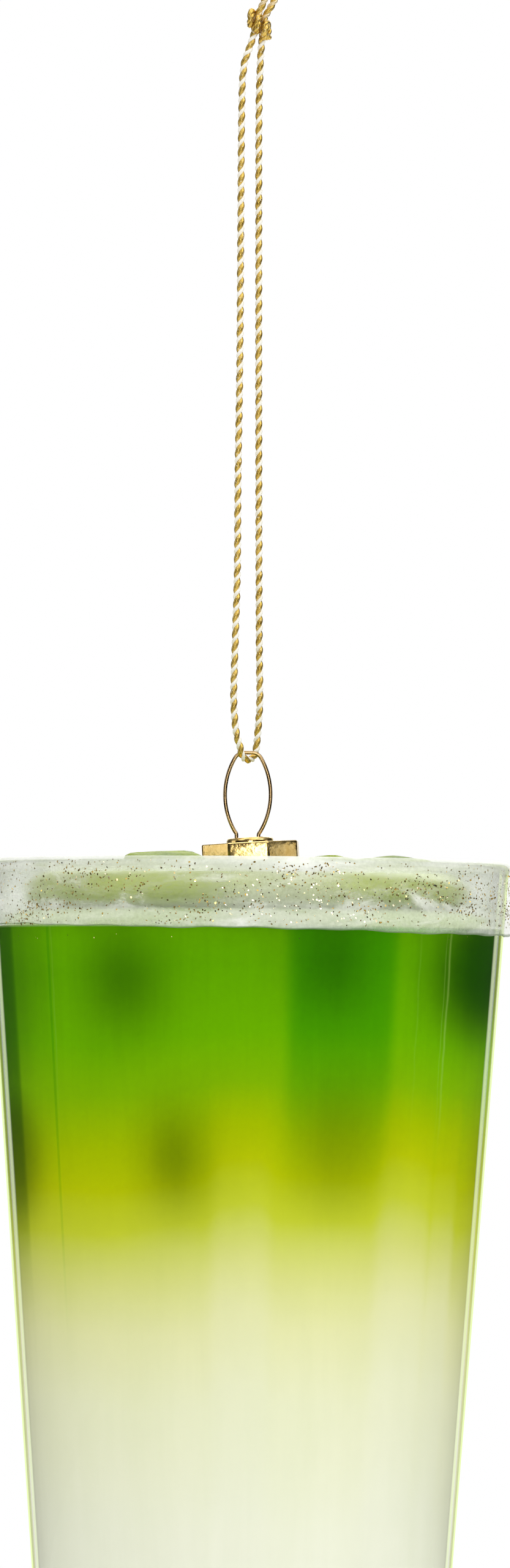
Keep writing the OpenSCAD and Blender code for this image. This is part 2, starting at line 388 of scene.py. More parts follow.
def held(profile, gap=0.3):
    """The profile with a point close to both ends of each long straight, which keeps its shading straight."""
    out = [profile[0]]
    for (r0, z0), (r1, z1) in zip(profile, profile[1:]):
        far = math.hypot(r1 - r0, z1 - z0)
        if far > 4 * gap:
            r, z = (r1 - r0) * gap / far, (z1 - z0) * gap / far
            out += [(r0 + r, z0 + z), (r1 - r, z1 - z)]
        out.append((r1, z1))
    return out


def turned(name, profile, steps=SPIN_STEPS):
    """Piece spun about the upright axis, from a profile of radius and height above the foot."""
    points = [above_foot(r, z) for r, z in held(profile)]
    bpy.ops.object.select_all(action="DESELECT")
    bpy.ops.mesh.primitive_plane_add(size=MM, location=points[0])
    piece = bpy.context.object
    piece.name = name
    settle(piece)
    bpy.ops.object.mode_set(mode="EDIT")
    bpy.ops.mesh.select_mode(type="VERT")
    bpy.ops.mesh.select_all(action="SELECT")
    bpy.ops.mesh.merge(type="CENTER")
    for a, b in zip(points, points[1:]):
        bpy.ops.mesh.extrude_region_move(TRANSFORM_OT_translate={"value": b - a})
    bpy.ops.mesh.select_all(action="SELECT")
    bpy.ops.mesh.spin(steps=steps, angle=2 * math.pi, center=(0, 0, 0), axis=(0, 0, 1))
    bpy.ops.mesh.select_all(action="SELECT")
    bpy.ops.mesh.remove_doubles(threshold=2e-6)
    bpy.ops.mesh.normals_make_consistent(inside=False)
    bpy.ops.object.mode_set(mode="OBJECT")
    smooth(piece)
    return piece


def tube(name, points, radius, rounds):
    """Closed round rod through points in metres."""
    bpy.ops.object.select_all(action="DESELECT")
    bpy.ops.curve.primitive_nurbs_path_add()
    made = bpy.context.object
    made.name = name
    made.data.splines.clear()
    line = made.data.splines.new("POLY")
    line.points.add(len(points) - 1)
    for spot, p in zip(line.points, points):
        spot.co = (*p, 1)
    made.data.bevel_depth = radius
    made.data.bevel_resolution = rounds
    made.data.use_fill_caps = True
    bpy.ops.object.convert(target="MESH")
    return bpy.context.object


def dress(piece, material, body, slot, *nodes):
    piece.data.materials.clear()
    piece.data.materials.append(material)
    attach(piece, body)
    if nodes:
        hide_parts(*nodes)


# Cord
def smooth_run(points, steps):
    """Smooth run through points, with steps between each two."""
    p = [Vector(q) for q in points]
    run = []
    for i in range(len(p) - 1):
        a, b, c, d = p[max(i - 1, 0)], p[i], p[i + 1], p[min(i + 2, len(p) - 1)]
        for s in range(steps):
            t = s / steps
            run.append(0.5 * (
                2 * b + t * (c - a) + t * t * (2 * a - 5 * b + 4 * c - d) + t ** 3 * (3 * b - a - 3 * c + d)
            ))
    return run + [p[-1]]


def evenly(run, step):
    """The same run with its points a step apart."""
    out, left = [run[0].copy()], step
    for a, b in zip(run, run[1:]):
        span, gone = (b - a).length, 0.0
        while span - gone >= left:
            gone += left
            out.append(a.lerp(b, gone / span))
            left = step
        left -= span - gone
    return out


# Plies of the cord: radius, distance from the middle of the cord, start of the turn
PLIES = [(0.31, 0.115, 0.0), (0.215, 0.2, math.pi)]
PLY_LAY = 1.74
PLY_STEP = 0.1


def ply(run, name, radius, out, start, gold):
    """One ply of the twisted cord, wound round a run, which notes how much gold it has."""
    ahead = [(run[min(i + 1, len(run) - 1)] - run[max(i - 1, 0)]).normalized() for i in range(len(run))]
    side = ahead[0].orthogonal().normalized()
    points, gone = [], 0.0
    for i, (p, t) in enumerate(zip(run, ahead)):
        side = (side - t * side.dot(t)).normalized()
        up = t.cross(side)
        gone += (p - run[i - 1]).length if i else 0.0
        a = start + 2 * math.pi * gone / PLY_LAY
        points.append((p + out * (math.cos(a) * side + math.sin(a) * up)) * MM)
    piece = tube(name, points, radius * MM, 2)
    share = piece.data.attributes.new("gold_share", "FLOAT", "POINT")
    share.data.foreach_set("value", [gold] * len(piece.data.vertices))
    return piece


def twisted(name, run, golds):
    """Twisted two-ply cord along a run of points in millimetres, with the gold of each ply."""
    run = evenly(run, PLY_STEP)
    piece = join([ply(run, name, *shape, gold) for shape, gold in zip(PLIES, golds)], name)
    settle(piece)
    bpy.ops.object.mode_set(mode="EDIT")
    bpy.ops.mesh.select_all(action="SELECT")
    bpy.ops.mesh.normals_make_consistent(inside=False)
    bpy.ops.object.mode_set(mode="OBJECT")
    smooth(piece, 60)
    return piece


# Route of the cord in the shared frame: down on the left, under the wire, up on the right
LEFT_RUN = [
    (0.1, -0.2, 1.2), (-0.4, -0.3, -0.4), (-1.1, -0.3, -2.8), (-1.3, -0.3, -8), (-1.3, -0.3, -24),
    (-1.3, -0.4, -38), (-1.4, -0.5, -50), (-1.4, -0.6, -61), (-1.6, -0.8, -70), (-1.7, -1, -76),
    (-1.4, -1.2, -79.6),
]
RIGHT_RUN = [
    (1.1, 1.2, -79.6), (1.3, 1, -76), (1.2, 0.8, -70), (1.1, 0.6, -61), (1, 0.5, -50),
    (0.9, 0.4, -38), (0.8, 0.3, -24), (0.7, 0.3, -8), (0.8, 0.3, -2.8), (0.9, 0.3, -0.4),
    (1.1, 0.2, 1.2),
]
EYE_TOP_Z = -82
BIGHT_FIT = 0.18
BIGHT_LOW = EYE_TOP_Z - (2 * WIRE_R + 2 * CORD_R) / 2 - BIGHT_FIT
BIGHT_HALF = (0.95, 1.25)
BIGHT_DEEP = 1.5
BIGHT = [
    (BIGHT_HALF[0] * math.cos(a), BIGHT_HALF[1] * math.cos(a), BIGHT_LOW + BIGHT_DEEP * (1 + math.sin(a)))
    for a in (math.radians(d) for d in range(180, 361, 30))
]
TAIL_1 = [(1.3, 0.3, 3), (1.8, 0.4, 4), (2.3, 0.4, 4.9), (2.8, 0.4, 6.3), (3.1, 0.4, 8.2), (3.2, 0.3, 10.4)]
TAIL_2 = [(0.4, -0.3, 3), (0.8, -0.4, 4), (1.2, -0.5, 4.9), (1.6, -0.6, 6.5), (1.8, -0.8, 8.6), (1.7, -0.9, 11.1)]
KNOT_FROM = Vector((-0.69, 0, 3.12))
KNOT_TO = Vector((2.02, 0, 1.03))
KNOT_R = 1.0
KNOT_STEPS = 120
KNOT_START = -60
KNOT_SWEEP = 1110


def knot_coil():
    """The knot: three upright turns that step down to the right, tucked in at both ends."""
    coil = []
    for i in range(KNOT_STEPS + 1):
        t = i / KNOT_STEPS
        a = math.radians(KNOT_START - KNOT_SWEEP * t)
        from_middle = abs(2 * t - 1)
        tuck = 1 - 0.6 * from_middle ** 10
        along = 0.5 + (t - 0.5) * (1 - 0.35 * from_middle ** 8)
        turn = Vector((0, KNOT_R * math.cos(a), KNOT_R * math.sin(a)))
        coil.append(KNOT_FROM.lerp(KNOT_TO, along) + tuck * turn)
    return coil


def make_cords():
    route = smooth_run(LEFT_RUN + BIGHT + RIGHT_RUN, 12)
    # The second ply of the hanging cord has no gold: its pale colour is a painted glint between the gold turns. The
    # ends are partly pale for the same.
    loop = twisted("hanging_cord", route, (1.0, 0.0))
    knot = twisted("cord_knot_turns", knot_coil(), (1.0, 1.0))
    end_1 = twisted("cord_end_1", smooth_run([RIGHT_RUN[-1], (1.2, 0.25, 2.1)] + TAIL_1, 8), (1.0, 0.6))
    end_2 = twisted("cord_end_2", smooth_run([LEFT_RUN[0], (0.15, -0.25, 2.1)] + TAIL_2, 8), (1.0, 0.6))
    return loop, knot, end_1, end_2, route


def gold_thread():
    """Gold foil ply; where a ply has no gold, its pale colour is a painted glint between the gold turns."""
    made, tree, shader = new_material("gold_thread")
    spot = object_place(tree)
    out = place_group(tree, PLATING, {
        "Place": spot, "Grain": 2600.0, "Smooth": 0.32, "Dull": 0.5,
        "Bright": (0.92, 0.65, 0.17, 1), "Deep": (0.58, 0.38, 0.07, 1),
    })
    foil = add_node(tree, "ShaderNodeAttribute", attribute_name="gold_share").outputs["Fac"]
    # Patches where the gold gives way to the pale colour are painted glints.
    glint_patches = spread(tree, noise(tree, spot, 3400.0, 2.0), 0.6, 0.68, 1.0, 0.5)
    foil = math_node(tree, "MULTIPLY", foil, glint_patches)
    painted_glint = ramp(tree, out["Height"], [(0.35, (0.9, 0.85, 0.7)), (0.65, (0.96, 0.94, 0.88))])
    tree.links.new(mix_colour(tree, foil, painted_glint, out["Colour"]), shader.inputs["Base Color"])
    tree.links.new(foil, shader.inputs["Metallic"])
    tree.links.new(out["Roughness"], shader.inputs["Roughness"])
    lines = noise(tree, stretched(tree, spot, (1, 1, 0.25)), 9000.0, 1.0)
    tree.links.new(bump(tree, lines, 0.2, 0.00004), shader.inputs["Normal"])
    return made


cord_loop, cord_knot, cord_end_1, cord_end_2, cord_route = make_cords()
GOLD_THREAD = gold_thread()
dress(cord_loop, GOLD_THREAD, "cord", "cord", "cord_loop")
dress(cord_knot, GOLD_THREAD, "cord", "cord", "cord_knot")
dress(cord_end_1, GOLD_THREAD, "cord", "cord", "cord_tail_1")
dress(cord_end_2, GOLD_THREAD, "cord", "cord", "cord_tail_2")
[p * MM for p in evenly(cord_route, 0.3)]


# Hanger wire
def make_wire():
    eye_z = CAP_Z + EYE_TALL - WIRE_R
    half = (EYE_WIDE - 2 * WIRE_R) / 2
    span = half - EYE_FLAT
    bend_r = 0.56 * span
    foot_rise = math.sqrt((bend_r + LEG_BEND) ** 2 - (LEG_X + LEG_BEND - EYE_FLAT) ** 2)
    foot_z = CAP_Z + EYE_LIFT
    low, high = foot_z + foot_rise, eye_z - bend_r
    mid, up_half = (low + high) / 2, (high - low) / 2
    side_r = (span * span + up_half * up_half - bend_r * bend_r) / (2 * (span - bend_r))
    side_a = math.degrees(math.atan2(up_half, side_r - span))
    foot_a = math.degrees(math.atan2(foot_rise, LEG_X + LEG_BEND - EYE_FLAT))
    right = (
        [(0.0, eye_z)]
        + arc((EYE_FLAT, high), bend_r, 90, side_a, 12)
        + arc((half - side_r, mid), side_r, side_a, -side_a, 24)[1:]
        + arc((EYE_FLAT, low), bend_r, -side_a, -foot_a, 6)[1:]
        + arc((LEG_X + LEG_BEND, foot_z), LEG_BEND, 180 - foot_a, 180, 5)[1:]
        + [(LEG_X, CAP_Z - LEG_KNEE), (LEG_END_X, CAP_Z - LEG_LONG)]
    )
    run = [(-x, z) for x, z in reversed(right)][:-1] + right
    piece = tube("wire_eye", [above_foot(x, z) for x, z in run], WIRE_R * MM, 3)
    settle(piece)
    smooth(piece, 60)
    return piece


def bronze_wire():
    made, tree, shader = new_material("bronze_wire", Metallic=1.0)
    spot = object_place(tree)
    out = place_group(tree, PLATING, {
        "Place": spot, "Grain": 3000.0, "Smooth": 0.14, "Dull": 0.24,
        "Bright": (0.52, 0.36, 0.18, 1), "Deep": (0.38, 0.25, 0.11, 1),
    })
    tree.links.new(out["Colour"], shader.inputs["Base Color"])
    tree.links.new(out["Roughness"], shader.inputs["Roughness"])
    tree.links.new(bump(tree, out["Height"], 0.1, 0.00002), shader.inputs["Normal"])
    return made


wire_eye = make_wire()
dress(wire_eye, bronze_wire(), "hanger", "wire", "hanger_wire")


# Cap: its sides with their pressed flats, its crown and holes, and how it leans, turns and shifts on the neck
CAP_SIDES = 8
HALF_SIDE = 180 / CAP_SIDES
CAP_BEVEL = 0.22
FLAT_AREA = 4 * 2
FLAT_INSET = 0.5
FLAT_DEPTHS = (0.03, 0.015)
CROWN_ROUND = 0.42
HOLE_R = 0.36
CAP_LEAN = -3.4
CAP_TURN = -2.4
CAP_SHIFT = 0.35


def make_cap():
    bpy.ops.object.select_all(action="DESELECT")
    corner_r = SKIRT_FLAT / math.cos(math.radians(HALF_SIDE))
    bpy.ops.mesh.primitive_cylinder_add(
        vertices=CAP_SIDES, radius=corner_r * MM, depth=SKIRT_H * MM,
        location=above_foot(0, SKIRT_TOP_Z - SKIRT_H / 2), rotation=(0, 0, math.radians(HALF_SIDE)),
    )
    skirt = bpy.context.object
    settle(skirt)
    pick(skirt, "FACE", lambda face: face.normal.z < -0.9)
    bpy.ops.mesh.delete(type="FACE")
    bpy.ops.object.mode_set(mode="OBJECT")
    middle = level(SKIRT_TOP_Z - SKIRT_H / 2)
    ends = skirt.data.vertices
    pick(skirt, "EDGE", lambda edge: max(ends[k].co.z for k in edge.vertices) > middle)
    bpy.ops.mesh.bevel(offset=CAP_BEVEL * MM, segments=3, profile=0.6)
    bpy.ops.object.mode_set(mode="OBJECT")
    pick(skirt, "FACE", lambda face: abs(face.normal.z) < 0.01 and face.area > FLAT_AREA * MM * MM)
    for depth in FLAT_DEPTHS:
        bpy.ops.mesh.inset(thickness=FLAT_INSET * MM, depth=depth * MM, use_individual=True)
    bpy.ops.object.mode_set(mode="OBJECT")
    wall = skirt.modifiers.new("sheet", "SOLIDIFY")
    wall.thickness = CAP_METAL * MM
    wall.offset = -1
    apply_all(skirt)
    smooth(skirt, 22)
    low = SKIRT_TOP_Z - 0.1
    crown = turned("crown", (
        [(0, low), (CROWN_R, low), (CROWN_R, SKIRT_TOP_Z + 0.15)]
        + arc((CROWN_R - CROWN_ROUND, SKIRT_TOP_Z + 0.18), CROWN_ROUND, 5, 90, 6)
        + [(0, CAP_Z)]
    ), 48)
    for x in (-LEG_X, LEG_X):
        bpy.ops.object.select_all(action="DESELECT")
        bpy.ops.mesh.primitive_cylinder_add(
            vertices=24, radius=HOLE_R * MM, depth=2 * MM, location=above_foot(x, CAP_Z),
        )
        drill = bpy.context.object
        cut = crown.modifiers.new("hole", "BOOLEAN")
        cut.object = drill
        cut.operation = "DIFFERENCE"
        cut.solver = "EXACT"
        apply_all(crown)
        bpy.data.objects.remove(drill)
    piece = join([skirt, crown], "gold_cap")
    piece.location = (0, 0, 0)
    centre = above_foot(0, SKIRT_TOP_Z - 1)
    lean = Matrix.Rotation(math.radians(CAP_LEAN), 4, "Y")
    askew = lean @ Matrix.Rotation(math.radians(CAP_TURN), 4, "Z")
    nudge = Matrix.Translation(centre + Vector((CAP_SHIFT, 0, 0)) * MM)
    piece.matrix_world = nudge @ askew @ Matrix.Translation(-centre)
    settle(piece)
    return piece


def cap_gold():
    made, tree, shader = new_material("cap_gold", Metallic=1.0)
    spot = object_place(tree)
    out = place_group(tree, PLATING, {
        "Place": spot, "Grain": 1500.0, "Smooth": 0.1, "Dull": 0.3,
        "Bright": (0.93, 0.7, 0.3, 1), "Deep": (0.66, 0.44, 0.13, 1),
    })
    tree.links.new(out["Colour"], shader.inputs["Base Color"])
    tree.links.new(out["Roughness"], shader.inputs["Roughness"])
    tree.links.new(bump(tree, out["Height"], 0.4, 0.00016), shader.inputs["Normal"])
    return made


gold_cap = make_cap()
dress(gold_cap, cap_gold(), "cap", "cap", "crown_cap")


# Tumbler
def make_tumbler():
    lip = GLASS_WALL / 2
    lip_c = (wall_r(TUMBLER_H - lip) - lip, TUMBLER_H - lip)
    return turned("tumbler_glass", (
        [(0, 0)]
        + arc(corner(FOOT_R, 0, HEEL_R), HEEL_R, -90, -LEAN)
        + arc(lip_c, lip, -LEAN, 180 - LEAN)
        + arc(corner(FOOT_R - GLASS_WALL, GLASS_FLOOR, INSIDE_R), INSIDE_R, -LEAN, -90)
        + [(0, GLASS_FLOOR)]
    ))


# Extra gloss of the thick wall as it turns away from the eye
EDGE_GLOSS = [(0.722, 0.0), (0.745, 0.36), (0.778, 0.36), (0.8, 0.0), (0.84, 0.0), (0.9, 1.0)]


def clear_glass():
    made, tree, shader = new_material(
        "clear_glass", Transmission_Weight=1.0, IOR=1.42, Metallic=0.0,
    )
    spot = object_place(tree)
    smear = noise(tree, stretched(tree, spot, (1, 1, 0.15)), 260.0, 3.0)
    height = place_parts(tree, spot)["Z"]
    frost = spread(tree, height, level(SHOULDER_Z), level(SHOULDER_Z + 0.5), 0.0, 0.14)
    smear = spread(tree, smear, 0.5, 0.8, 0.0, 0.03)
    tree.links.new(math_node(tree, "ADD", smear, frost), shader.inputs["Roughness"])
    tint = ramp(tree, noise(tree, spot, 60.0), [(0.3, (0.96, 0.985, 0.95)), (0.7, (0.99, 1.0, 0.985))])
    tree.links.new(tint, shader.inputs["Base Color"])
    waves = noise(tree, stretched(tree, spot, (1, 1, 0.3)), 90.0, 2.0)
    tree.links.new(bump(tree, waves, 0.12, 0.0006), shader.inputs["Normal"])
    facing = add_node(tree, "ShaderNodeLayerWeight", {"Blend": 0.5}).outputs["Facing"]
    edge = ramp(tree, facing, [(at, (share, share, share)) for at, share in EDGE_GLOSS])
    gloss = add_node(tree, "ShaderNodeBsdfGlossy", {"Color": (0.86, 1, 0.5, 1), "Roughness": 0.03})
    wall = add_node(tree, "ShaderNodeMixShader", {0: edge, 1: shader.outputs[0], 2: gloss.outputs[0]})
    ray = add_node(tree, "ShaderNodeLightPath")
    clear = add_node(tree, "ShaderNodeBsdfTransparent")
    both = add_node(tree, "ShaderNodeMixShader", {
        0: ray.outputs["Is Shadow Ray"], 1: wall.outputs[0], 2: clear.outputs[0],
    })
    tree.links.new(both.outputs[0], tree.nodes["Material Output"].inputs["Surface"])
    return made


# Painted drink
def make_drink():
    base = FOOT_R - GLASS_WALL + PAINT_SINK
    flat = TOP_R - TOP_EDGE
    high = wall_r(SHOULDER_Z) - GLASS_WALL + PAINT_SINK
    outer = [
        (flat + (high - flat) * math.cos(a), SHOULDER_Z + FOAM_RISE * math.sin(a))
        for a in (math.radians(9 * i) for i in range(11))
    ]
    inner = [
        (flat + (high - DRINK_WALL - flat) * math.cos(a), SHOULDER_Z - DRINK_WALL + FOAM_RISE * math.sin(a))
        for a in (math.radians(9 * i) for i in range(10, -1, -1))
    ]
    return turned("painted_drink", (
        [(0, GLASS_FLOOR - PAINT_SINK)]
        + arc(corner(base, GLASS_FLOOR - PAINT_SINK, INSIDE_R), INSIDE_R, -90, -LEAN)
        + outer
        + [(NECK_BORE_R, TOP_BASE_Z), (NECK_BORE_R, TOP_BASE_Z - DRINK_WALL)]
        + inner
        + arc(corner(base - DRINK_WALL, GLASS_FLOOR + DRINK_WALL, INSIDE_R), INSIDE_R, -LEAN, -90)
        + [(0, GLASS_FLOOR + DRINK_WALL)]
    ))


# Spots: turn in degrees from the front, height in the shared frame, half width in degrees, half height,
# strength, sharpness
SPOTS = [
    (-29, -108.2, 11, 6.6, 0.6, 1.0),
    # The wide faint spot at -79 degrees is painted shade down the left side, with the band there.
    (-79, -106.0, 26, 16, 0.4, 2.0),
    (20, -106.4, 10, 6.0, 0.5, 1.0),
    (70, -107.0, 24, 8.5, 1.0, 1.8),
    (121, -108.8, 10, 5.4, 0.7, 1.0),
    (172, -107.8, 14, 9.0, 0.75, 1.6),
    (-136, -108.4, 10, 5.2, 0.7, 1.0),
    (-72, -128.2, 14, 7.5, 0.66, 1.6),
    (-17, -128.4, 9, 6.2, 0.58, 1.0),
    (23, -127.0, 12, 7.5, 0.4, 1.3),
    (82, -128.2, 9, 4.6, 0.2, 1.0),
    (134, -127.4, 8, 5.2, 0.6, 1.0),
    (-170, -128.4, 9, 5.2, 0.6, 1.0),
    (-128, -127.6, 8, 5.0, 0.65, 1.0),
]
# Upright bands: turn in degrees, half width in degrees, height, half height, strength, sharpness, tint.
# They are fixed to the vessel. The darker band at -92 degrees, down the left side, is painted shade.
PURE_GREEN = (0.42, 0.74, 0.4)
# Tint of the painted shade down the left side
PAINTED_SHADE_GREEN = (0.46, 0.57, 0.45)
BANDS = [
    (23.1, 13.8, -104, 20, 1.0, 6, PURE_GREEN),
    (-92, 25, -112, 26, 1.0, 22, PAINTED_SHADE_GREEN),
    (-51.5, 0.45, -115, 24, 0.5, 6, PURE_GREEN),
    (150, 20, -104, 18, 0.8, 6, PURE_GREEN),
]
# Upright streaks where the milky paint climbs higher: turn in degrees, half width in degrees, climb
# The streaks at -1 and 44 degrees, on the front, are painted lamp reflections; the ones behind are streaks in the
# paint.
MILK_AND_REFLECTION_STREAKS = [(-1, 7.5, 2.2), (44, 9.5, 3.4), (58, 6, 2.8), (110, 8, 3.0), (168, 9, 3.6), (-120, 10, 3.2)]
# Fine lighter lines: turn in degrees, half width in degrees, strength
LINES = [
    (53.6, 0.35, 0.26), (52.2, 0.2, 0.12), (43.5, 0.25, 0.06),
    (-50.5, 0.25, 0.08), (140, 0.3, 0.2), (-100, 0.3, 0.2),
]
# Heights in the shared frame, in metres: where the milk stops climbing, where the fine lines and the brush marks
# fade into the milk, and both ends of the paint
CLIMB_TOP, CLIMB_FULL = -0.118, -0.128
LINES_END, LINES_FULL = -0.128, -0.116
BRUSH_END, BRUSH_FULL = -0.135, -0.118
PAINT_LOW, PAINT_HIGH = -0.1865, -0.1005


def drink_paint():
    made, tree, shader = new_material("drink_paint")
    shader.inputs["Specular IOR Level"].default_value = 0.0
    spot = object_place(tree)
    parts = place_parts(tree, spot)
    turn = turn_round(tree, parts)
    drift = spread(tree, noise(tree, spot, 26.0, 2.0), 0.3, 0.7, -0.0018, 0.0018)
    # At the front streaks this climb is a painted reflection of lamps.
    climb = strongest(tree, [
        wall_stripe(tree, turn, degrees, half, rise * MM, 3.0) for degrees, half, rise in MILK_AND_REFLECTION_STREAKS
    ])
    climb = math_node(tree, "MULTIPLY", climb, spread(tree, parts["Z"], CLIMB_TOP, CLIMB_FULL, 0.0, 1.0))
    height = math_node(tree, "SUBTRACT", math_node(tree, "ADD", parts["Z"], drift), climb)
    share = spread(tree, height, PAINT_LOW, PAINT_HIGH, 0.0, 1.0)

    def at(z):
        return (z * MM - PAINT_LOW) / (PAINT_HIGH - PAINT_LOW)

    base = ramp(tree, share, [
        (0.0, (0.78, 0.78, 0.7)),
        (at(-170), (0.765, 0.77, 0.65)),
        (at(-157), (0.75, 0.755, 0.56)),
        (at(-149), (0.72, 0.72, 0.42)),
        (at(-143), (0.64, 0.655, 0.23)),
        (at(-137), (0.53, 0.58, 0.035)),
        (at(-132), (0.46, 0.52, 0.002)),
        (at(-127), (0.37, 0.485, 0.0)),
        (at(-121), (0.22, 0.44, 0.001)),
        (at(-115), (0.15, 0.42, 0.0)),
        (at(-107), (0.12, 0.37, 0.0)),
        (at(-103.2), (0.13, 0.39, 0.0)),
    ])
    masks = strongest(tree, [
        wall_spot(tree, turn, parts["Z"], degrees, z, half, tall, strength, edge)
        for degrees, z, half, tall, strength, edge in SPOTS
    ])
    banded = base
    # The band down the left side darkens the paint as painted shade.
    for degrees, half, z, tall, strength, edge, tint in BANDS:
        upright = wall_stripe(tree, turn, degrees, half, strength, edge)
        mask = math_node(tree, "MULTIPLY", upright, wall_ring(tree, parts["Z"], z, tall, 1.0, 2.0))
        banded = mix_colour(tree, mask, banded, mix_colour(tree, 1.0, banded, tint, "MULTIPLY"))
    deep = mix_colour(tree, masks, banded, mix_colour(tree, 1.0, banded, (0.1, 0.2, 0.1), "MULTIPLY"))
    stray = spread(tree, noise(tree, spot, 140.0, 2.0), 0.3, 0.7, -0.006, 0.006)
    wander = math_node(tree, "ADD", turn, stray)
    lines = strongest(tree, [
        wall_stripe(tree, wander, degrees, half, strength, 1.0) for degrees, half, strength in LINES
    ])
    lines = math_node(tree, "MULTIPLY", lines, spread(tree, parts["Z"], LINES_END, LINES_FULL, 0.0, 1.0))
    deep = mix_colour(tree, lines, deep, (0.42, 0.6, 0.12))
    cloud = place_group(tree, STREAKS, {"Place": spot, "Scale": 150.0, "Flat": 0.12})
    tone = ramp(tree, cloud["Streaks"], [(0.3, (0.95, 0.96, 0.93)), (0.7, (1.0, 1.0, 1.0))])
    fine = place_group(tree, STREAKS, {"Place": spot, "Scale": 620.0, "Flat": 0.025})
    brushed = ramp(tree, fine["Streaks"], [(0.3, (0.95, 0.955, 0.94)), (0.7, (1.03, 1.02, 1.03))])
    brush_share = spread(tree, parts["Z"], BRUSH_END, BRUSH_FULL, 0.2, 1.0)
    paint = mix_colour(tree, 1.0, deep, tone, "MULTIPLY")
    paint = mix_colour(tree, brush_share, paint, brushed, "MULTIPLY")
    foam_edge = spread(tree, parts["Z"], level(SHOULDER_Z - 0.15), level(SHOULDER_Z + 0.2), 0.0, 1.0)
    foam = ramp(tree, cloud["Grain"], [(0.3, (0.38, 0.48, 0.2)), (0.7, (0.48, 0.56, 0.3))])
    tree.links.new(mix_colour(tree, foam_edge, paint, foam), shader.inputs["Base Color"])
    tree.links.new(spread(tree, cloud["Streaks"], 0.3, 0.7, 0.42, 0.58), shader.inputs["Roughness"])
    return made


# Matcha layer with the glass neck
LAYER_R = 25.6
LAYER_EDGE = 6.0
LAYER_LOW = 85.7
LAYER_TOP = 91.0
# Heights over which the layer's underside is painted paler: painted light on its shade
PAINTED_LIGHT_LOW = 86.2
PAINTED_LIGHT_TOP = 87.4
NECK_FILLET = 0.4
NECK_CHAMFER = 0.2


def make_matcha():
    flat = LAYER_R - LAYER_EDGE
    mid, half = (LAYER_LOW + LAYER_TOP) / 2, (LAYER_TOP - LAYER_LOW) / 2
    edge = [
        (flat + LAYER_EDGE * math.cos(a), mid + half * math.sin(a))
        for a in (math.radians(-90 + 7.5 * i) for i in range(25))
    ]
    return turned("matcha_layer", (
        [(NECK_BORE_R, LAYER_LOW)]
        + edge
        + [(NECK_R + NECK_FILLET, LAYER_TOP), (NECK_R, LAYER_TOP + NECK_FILLET)]
        + [(NECK_R, NECK_Z - NECK_CHAMFER), (NECK_R - NECK_CHAMFER, NECK_Z)]
        + [(NECK_BORE_R, NECK_Z), (NECK_BORE_R, LAYER_LOW)]
    ))


def matcha_gloss():
    made, tree, shader = new_material("matcha_gloss")
    shader.inputs["Coat Roughness"].default_value = 0.3
    spot = object_place(tree)
    cloud = place_group(tree, STREAKS, {"Place": spot, "Scale": 70.0, "Flat": 2.0})
    base = ramp(tree, cloud["Streaks"], [
        (0.25, (0.22, 0.28, 0.018)), (0.5, (0.3, 0.365, 0.033)), (0.75, (0.38, 0.44, 0.065)),
    ])
    parts = place_parts(tree, spot)
    # The lower part of the layer is painted paler, as painted light on its shaded underside.
    under = spread(tree, parts["Z"], level(PAINTED_LIGHT_TOP), level(PAINTED_LIGHT_LOW), 0.0, 0.85)
    tree.links.new(mix_colour(tree, under, base, (0.8, 0.83, 0.66)), shader.inputs["Base Color"])
    tree.links.new(spread(tree, cloud["Grain"], 0.3, 0.7, 0.3, 0.5), shader.inputs["Roughness"])
    tree.links.new(spread(tree, cloud["Streaks"], 0.3, 0.7, 0.1, 0.3), shader.inputs["Coat Weight"])
    tree.links.new(bump(tree, cloud["Streaks"], 0.15, 0.0004), shader.inputs["Normal"])
    return made


tumbler = make_tumbler()
dress(tumbler, clear_glass(), "ornament", "glass", "glass_tumbler")
drink = make_drink()
dress(drink, drink_paint(), "ornament", "drink", "drink_vessel")
matcha = make_matcha()
dress(matcha, matcha_gloss(), "ornament", "matcha", "matcha_top")


# Ice: angle round the neck, shift outwards, tilt about X, tilt about Y, turn, height over the matcha
ICE = [
    (232, 0.8, 5, -2, 12, 2.3),
    (306, 0.2, -6, 4, 65, 1.9),
    (4, 2, 5, -7, 40, 2.3),
    (62, 0, 7, 4, 10, 1.7),
    (119, 0.2, -5, -5, 30, 2),
    (176, 0, 4, 6, 75, 1.5),
]
ICE_S = 9.0
ICE_ROUGH = 0.09
ICE_SINK = 0.3
ICE_RING = (SKIRT_FLAT / math.cos(math.radians(HALF_SIDE)) + TOP_R - TOP_EDGE) / 2


